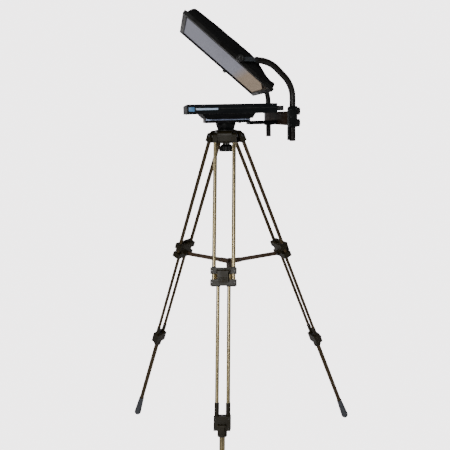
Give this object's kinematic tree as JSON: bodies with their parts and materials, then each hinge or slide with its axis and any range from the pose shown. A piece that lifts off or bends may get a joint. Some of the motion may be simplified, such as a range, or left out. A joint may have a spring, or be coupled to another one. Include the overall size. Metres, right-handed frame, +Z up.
{
  "type": "tripod teleprompter",
  "caption": "Teleprompter: tilted beam-splitter glass in a black frame with a cloth hood, held by a yoke over a flat monitor, on a half-ball head and a telescopic tripod.",
  "frame": {"origin": "the floor point under the tripod's axis", "axes": "+X towards the camera operator, -X towards the speaker, -Y the near side, +Z up"},
  "size_m": [1.0959, 1.0714, 1.8955],
  "materials": {
    "frame_black": "satin black powder coat",
    "mirror_glass": "half-silvered",
    "hood_cloth": "black woven nylon",
    "knob_plastic": "fine texture",
    "arm_coat": "satin dark brown-black",
    "plate_grey": "satin grey",
    "bar_brown": "satin brown-black",
    "head_black": "fine texture black",
    "monitor_plastic": "fine texture",
    "screen": "glossy",
    "board": "solder mask",
    "steel": "bright",
    "casting": "satin grey-green",
    "tube_bronze": "anodised champagne bronze",
    "foot_rubber": "matte"
  },
  "bodies": {
    "crown": {"crown": "casting", "hinge_pins": "steel"},
    "liner": {"bowl_liner": "knob_plastic"},
    "head": {"half_ball": "head_black", "tie_down_bolt": "steel", "base_plate": "head_black", "monitor_back": "monitor_plastic", "monitor_bezel": "monitor_plastic", "lcd_panel": "screen", "control_board": "board", "connector_block": "monitor_plastic"},
    "tie_down_knob": {"tie_down_knob": "knob_plastic"},
    "rail": {"rail": "head_black", "crossbar": "bar_brown", "arm_clamps": "head_black"},
    "rail_lock_knob": {"rail_lock_knob": "knob_plastic"},
    "yoke": {"yoke_arms": "arm_coat", "arm_end_plates": "plate_grey"},
    "glass": {"glass_frame": "frame_black", "beam_splitter_glass": "mirror_glass", "hood": "hood_cloth"},
    "near_tilt_knob": {"near_tilt_knob": "knob_plastic"},
    "far_tilt_knob": {"far_tilt_knob": "knob_plastic"},
    "near_upper_knob": {"near_upper_knob": "knob_plastic"},
    "near_lower_knob": {"near_lower_knob": "knob_plastic"},
    "far_upper_knob": {"far_upper_knob": "knob_plastic"},
    "far_lower_knob": {"far_lower_knob": "knob_plastic"},
    "power_button": {"power_button": "knob_plastic"},
    "menu_button": {"menu_button": "knob_plastic"},
    "spreader_hub": {"spreader_hub": "casting"},
    "leg_1": {"leg_head_1": "casting", "outer_tubes_1": "tube_bronze", "mid_lock_1": "casting"},
    "middle_1": {"inner_tubes_1": "tube_bronze", "lower_lock_1": "casting"},
    "bottom_1": {"lower_tube_1": "tube_bronze", "foot_1": "foot_rubber"},
    "spreader_arm_1": {"spreader_arm_1": "casting"},
    "mid_lever_1": {"mid_lever_1": "casting"},
    "lower_lever_1": {"lower_lever_1": "casting"},
    "leg_2": {"leg_head_2": "casting", "outer_tubes_2": "tube_bronze", "mid_lock_2": "casting"},
    "middle_2": {"inner_tubes_2": "tube_bronze", "lower_lock_2": "casting"},
    "bottom_2": {"lower_tube_2": "tube_bronze", "foot_2": "foot_rubber"},
    "spreader_arm_2": {"spreader_arm_2": "casting"},
    "mid_lever_2": {"mid_lever_2": "casting"},
    "lower_lever_2": {"lower_lever_2": "casting"},
    "leg_3": {"leg_head_3": "casting", "outer_tubes_3": "tube_bronze", "mid_lock_3": "casting"},
    "middle_3": {"inner_tubes_3": "tube_bronze", "lower_lock_3": "casting"},
    "bottom_3": {"lower_tube_3": "tube_bronze", "foot_3": "foot_rubber"},
    "spreader_arm_3": {"spreader_arm_3": "casting"},
    "mid_lever_3": {"mid_lever_3": "casting"},
    "lower_lever_3": {"lower_lever_3": "casting"}
  },
  "joints": [
    {"name": "ball_turn", "type": "hinge", "parent": "crown", "child": "liner", "pos_m": [0, 0, 1.478], "axis": [0, 0, 1], "continuous": true},
    {"name": "ball_tilt", "type": "hinge", "parent": "liner", "child": "head", "pos_m": [0, 0, 1.478], "axis": [0, 1, 0], "range_deg": [-8, 8]},
    {"name": "tie_down_knob_turn", "type": "hinge", "parent": "head", "child": "tie_down_knob", "pos_m": [0, 0, 1.41], "axis": [0, 0, -1], "range_deg": [0, 270]},
    {"name": "rail_slide", "type": "slide", "parent": "head", "child": "rail", "axis": [1, 0, 0], "range_m": [-0.008, 0.025]},
    {"name": "rail_lock_turn", "type": "hinge", "parent": "head", "child": "rail_lock_knob", "pos_m": [0.066, 0.068, 1.518], "axis": [0, 1, 0], "range_deg": [0, 270]},
    {"name": "yoke_slide", "type": "slide", "parent": "rail", "child": "yoke", "axis": [0, 0, 1], "range_m": [-0.01, 0.04]},
    {"name": "frame_tilt", "type": "hinge", "parent": "yoke", "child": "glass", "pos_m": [0.0304, 0, 1.7295], "axis": [0, 1, 0], "range_deg": [-30, 12]},
    {"name": "near_tilt_knob_turn", "type": "hinge", "parent": "glass", "child": "near_tilt_knob", "pos_m": [0.0304, -0.212, 1.7295], "axis": [0, -1, 0], "range_deg": [0, 270]},
    {"name": "far_tilt_knob_turn", "type": "hinge", "parent": "glass", "child": "far_tilt_knob", "pos_m": [0.0304, 0.212, 1.7295], "axis": [0, 1, 0], "range_deg": [0, 270]},
    {"name": "near_upper_knob_turn", "type": "hinge", "parent": "rail", "child": "near_upper_knob", "pos_m": [0.23, -0.206, 1.5505], "axis": [1, 0, 0], "range_deg": [0, 270]},
    {"name": "near_lower_knob_turn", "type": "hinge", "parent": "rail", "child": "near_lower_knob", "pos_m": [0.23, -0.206, 1.5095], "axis": [1, 0, 0], "range_deg": [0, 270]},
    {"name": "far_upper_knob_turn", "type": "hinge", "parent": "rail", "child": "far_upper_knob", "pos_m": [0.23, 0.206, 1.5505], "axis": [1, 0, 0], "range_deg": [0, 270]},
    {"name": "far_lower_knob_turn", "type": "hinge", "parent": "rail", "child": "far_lower_knob", "pos_m": [0.23, 0.206, 1.5095], "axis": [1, 0, 0], "range_deg": [0, 270]},
    {"name": "power_button_press", "type": "slide", "parent": "head", "child": "power_button", "axis": [0, 0, -1], "range_m": [0, 0.001], "stiffness_N_per_m": 600, "springref_m": -0.0015},
    {"name": "menu_button_press", "type": "slide", "parent": "head", "child": "menu_button", "axis": [0, 0, -1], "range_m": [0, 0.001], "stiffness_N_per_m": 600, "springref_m": -0.0015},
    {"name": "hub_slide", "type": "slide", "parent": "crown", "child": "spreader_hub", "axis": [0, 0, 1], "range_m": [0, 0.1525]},
    {"name": "leg_fold_1", "type": "hinge", "parent": "crown", "child": "leg_1", "pos_m": [-0.01052, -0.04745, 1.4635], "axis": [0.9763, -0.2164, 0], "range_deg": [0, 19]},
    {"name": "middle_slide_1", "type": "slide", "parent": "leg_1", "child": "middle_1", "axis": [0.0804, 0.3626, 0.9285], "range_m": [0, 0.36]},
    {"name": "bottom_slide_1", "type": "slide", "parent": "middle_1", "child": "bottom_1", "axis": [0.0804, 0.3626, 0.9285], "range_m": [0, 0.36]},
    {"name": "mid_lever_1_open", "type": "hinge", "parent": "leg_1", "child": "mid_lever_1", "pos_m": [-0.05678, -0.25611, 0.99109], "axis": [-0.9763, 0.2164, 0], "range_deg": [0, 100]},
    {"name": "lower_lever_1_open", "type": "hinge", "parent": "middle_1", "child": "lower_lever_1", "pos_m": [-0.09918, -0.44736, 0.49862], "axis": [-0.9763, 0.2164, 0], "range_deg": [0, 100]},
    {"name": "spreader_arm_1_fold", "type": "hinge", "parent": "leg_1", "child": "spreader_arm_1", "pos_m": [-0.04906, -0.2213, 0.94559], "axis": [0.9763, -0.2164, 0], "range_deg": [0, 70.5]},
    {"name": "leg_fold_2", "type": "hinge", "parent": "crown", "child": "leg_2", "pos_m": [0.04635, 0.01461, 1.4635], "axis": [-0.3007, 0.9537, 0], "range_deg": [0, 19]},
    {"name": "middle_slide_2", "type": "slide", "parent": "leg_2", "child": "middle_2", "axis": [-0.3542, -0.1117, 0.9285], "range_m": [0, 0.36]},
    {"name": "bottom_slide_2", "type": "slide", "parent": "middle_2", "child": "bottom_2", "axis": [-0.3542, -0.1117, 0.9285], "range_m": [0, 0.36]},
    {"name": "mid_lever_2_open", "type": "hinge", "parent": "leg_2", "child": "mid_lever_2", "pos_m": [0.25018, 0.07888, 0.99109], "axis": [0.3007, -0.9537, 0], "range_deg": [0, 100]},
    {"name": "lower_lever_2_open", "type": "hinge", "parent": "middle_2", "child": "lower_lever_2", "pos_m": [0.43701, 0.13779, 0.49862], "axis": [0.3007, -0.9537, 0], "range_deg": [0, 100]},
    {"name": "spreader_arm_2_fold", "type": "hinge", "parent": "leg_2", "child": "spreader_arm_2", "pos_m": [0.21618, 0.06816, 0.94559], "axis": [-0.3007, 0.9537, 0], "range_deg": [0, 70.5]},
    {"name": "leg_fold_3", "type": "hinge", "parent": "crown", "child": "leg_3", "pos_m": [-0.03583, 0.03283, 1.4635], "axis": [-0.6756, -0.7373, 0], "range_deg": [0, 19]},
    {"name": "middle_slide_3", "type": "slide", "parent": "leg_3", "child": "middle_3", "axis": [0.2738, -0.2509, 0.9285], "range_m": [0, 0.36]},
    {"name": "bottom_slide_3", "type": "slide", "parent": "middle_3", "child": "bottom_3", "axis": [0.2738, -0.2509, 0.9285], "range_m": [0, 0.36]},
    {"name": "mid_lever_3_open", "type": "hinge", "parent": "leg_3", "child": "mid_lever_3", "pos_m": [-0.1934, 0.17722, 0.99109], "axis": [0.6756, 0.7373, 0], "range_deg": [0, 100]},
    {"name": "lower_lever_3_open", "type": "hinge", "parent": "middle_3", "child": "lower_lever_3", "pos_m": [-0.33783, 0.30957, 0.49862], "axis": [0.6756, 0.7373, 0], "range_deg": [0, 100]},
    {"name": "spreader_arm_3_fold", "type": "hinge", "parent": "leg_3", "child": "spreader_arm_3", "pos_m": [-0.16712, 0.15313, 0.94559], "axis": [-0.6756, -0.7373, 0], "range_deg": [0, 70.5]}
  ],
  "couplings": [
    {"joint": "hub_slide", "follows": "leg_fold_1", "m_per_rad": 0.455},
    {"joint": "spreader_arm_1_fold", "follows": "leg_fold_1", "ratio": 3.6976},
    {"joint": "leg_fold_2", "follows": "leg_fold_1", "ratio": 1},
    {"joint": "spreader_arm_2_fold", "follows": "leg_fold_1", "ratio": 3.6976},
    {"joint": "leg_fold_3", "follows": "leg_fold_1", "ratio": 1},
    {"joint": "spreader_arm_3_fold", "follows": "leg_fold_1", "ratio": 3.6976}
  ]
}
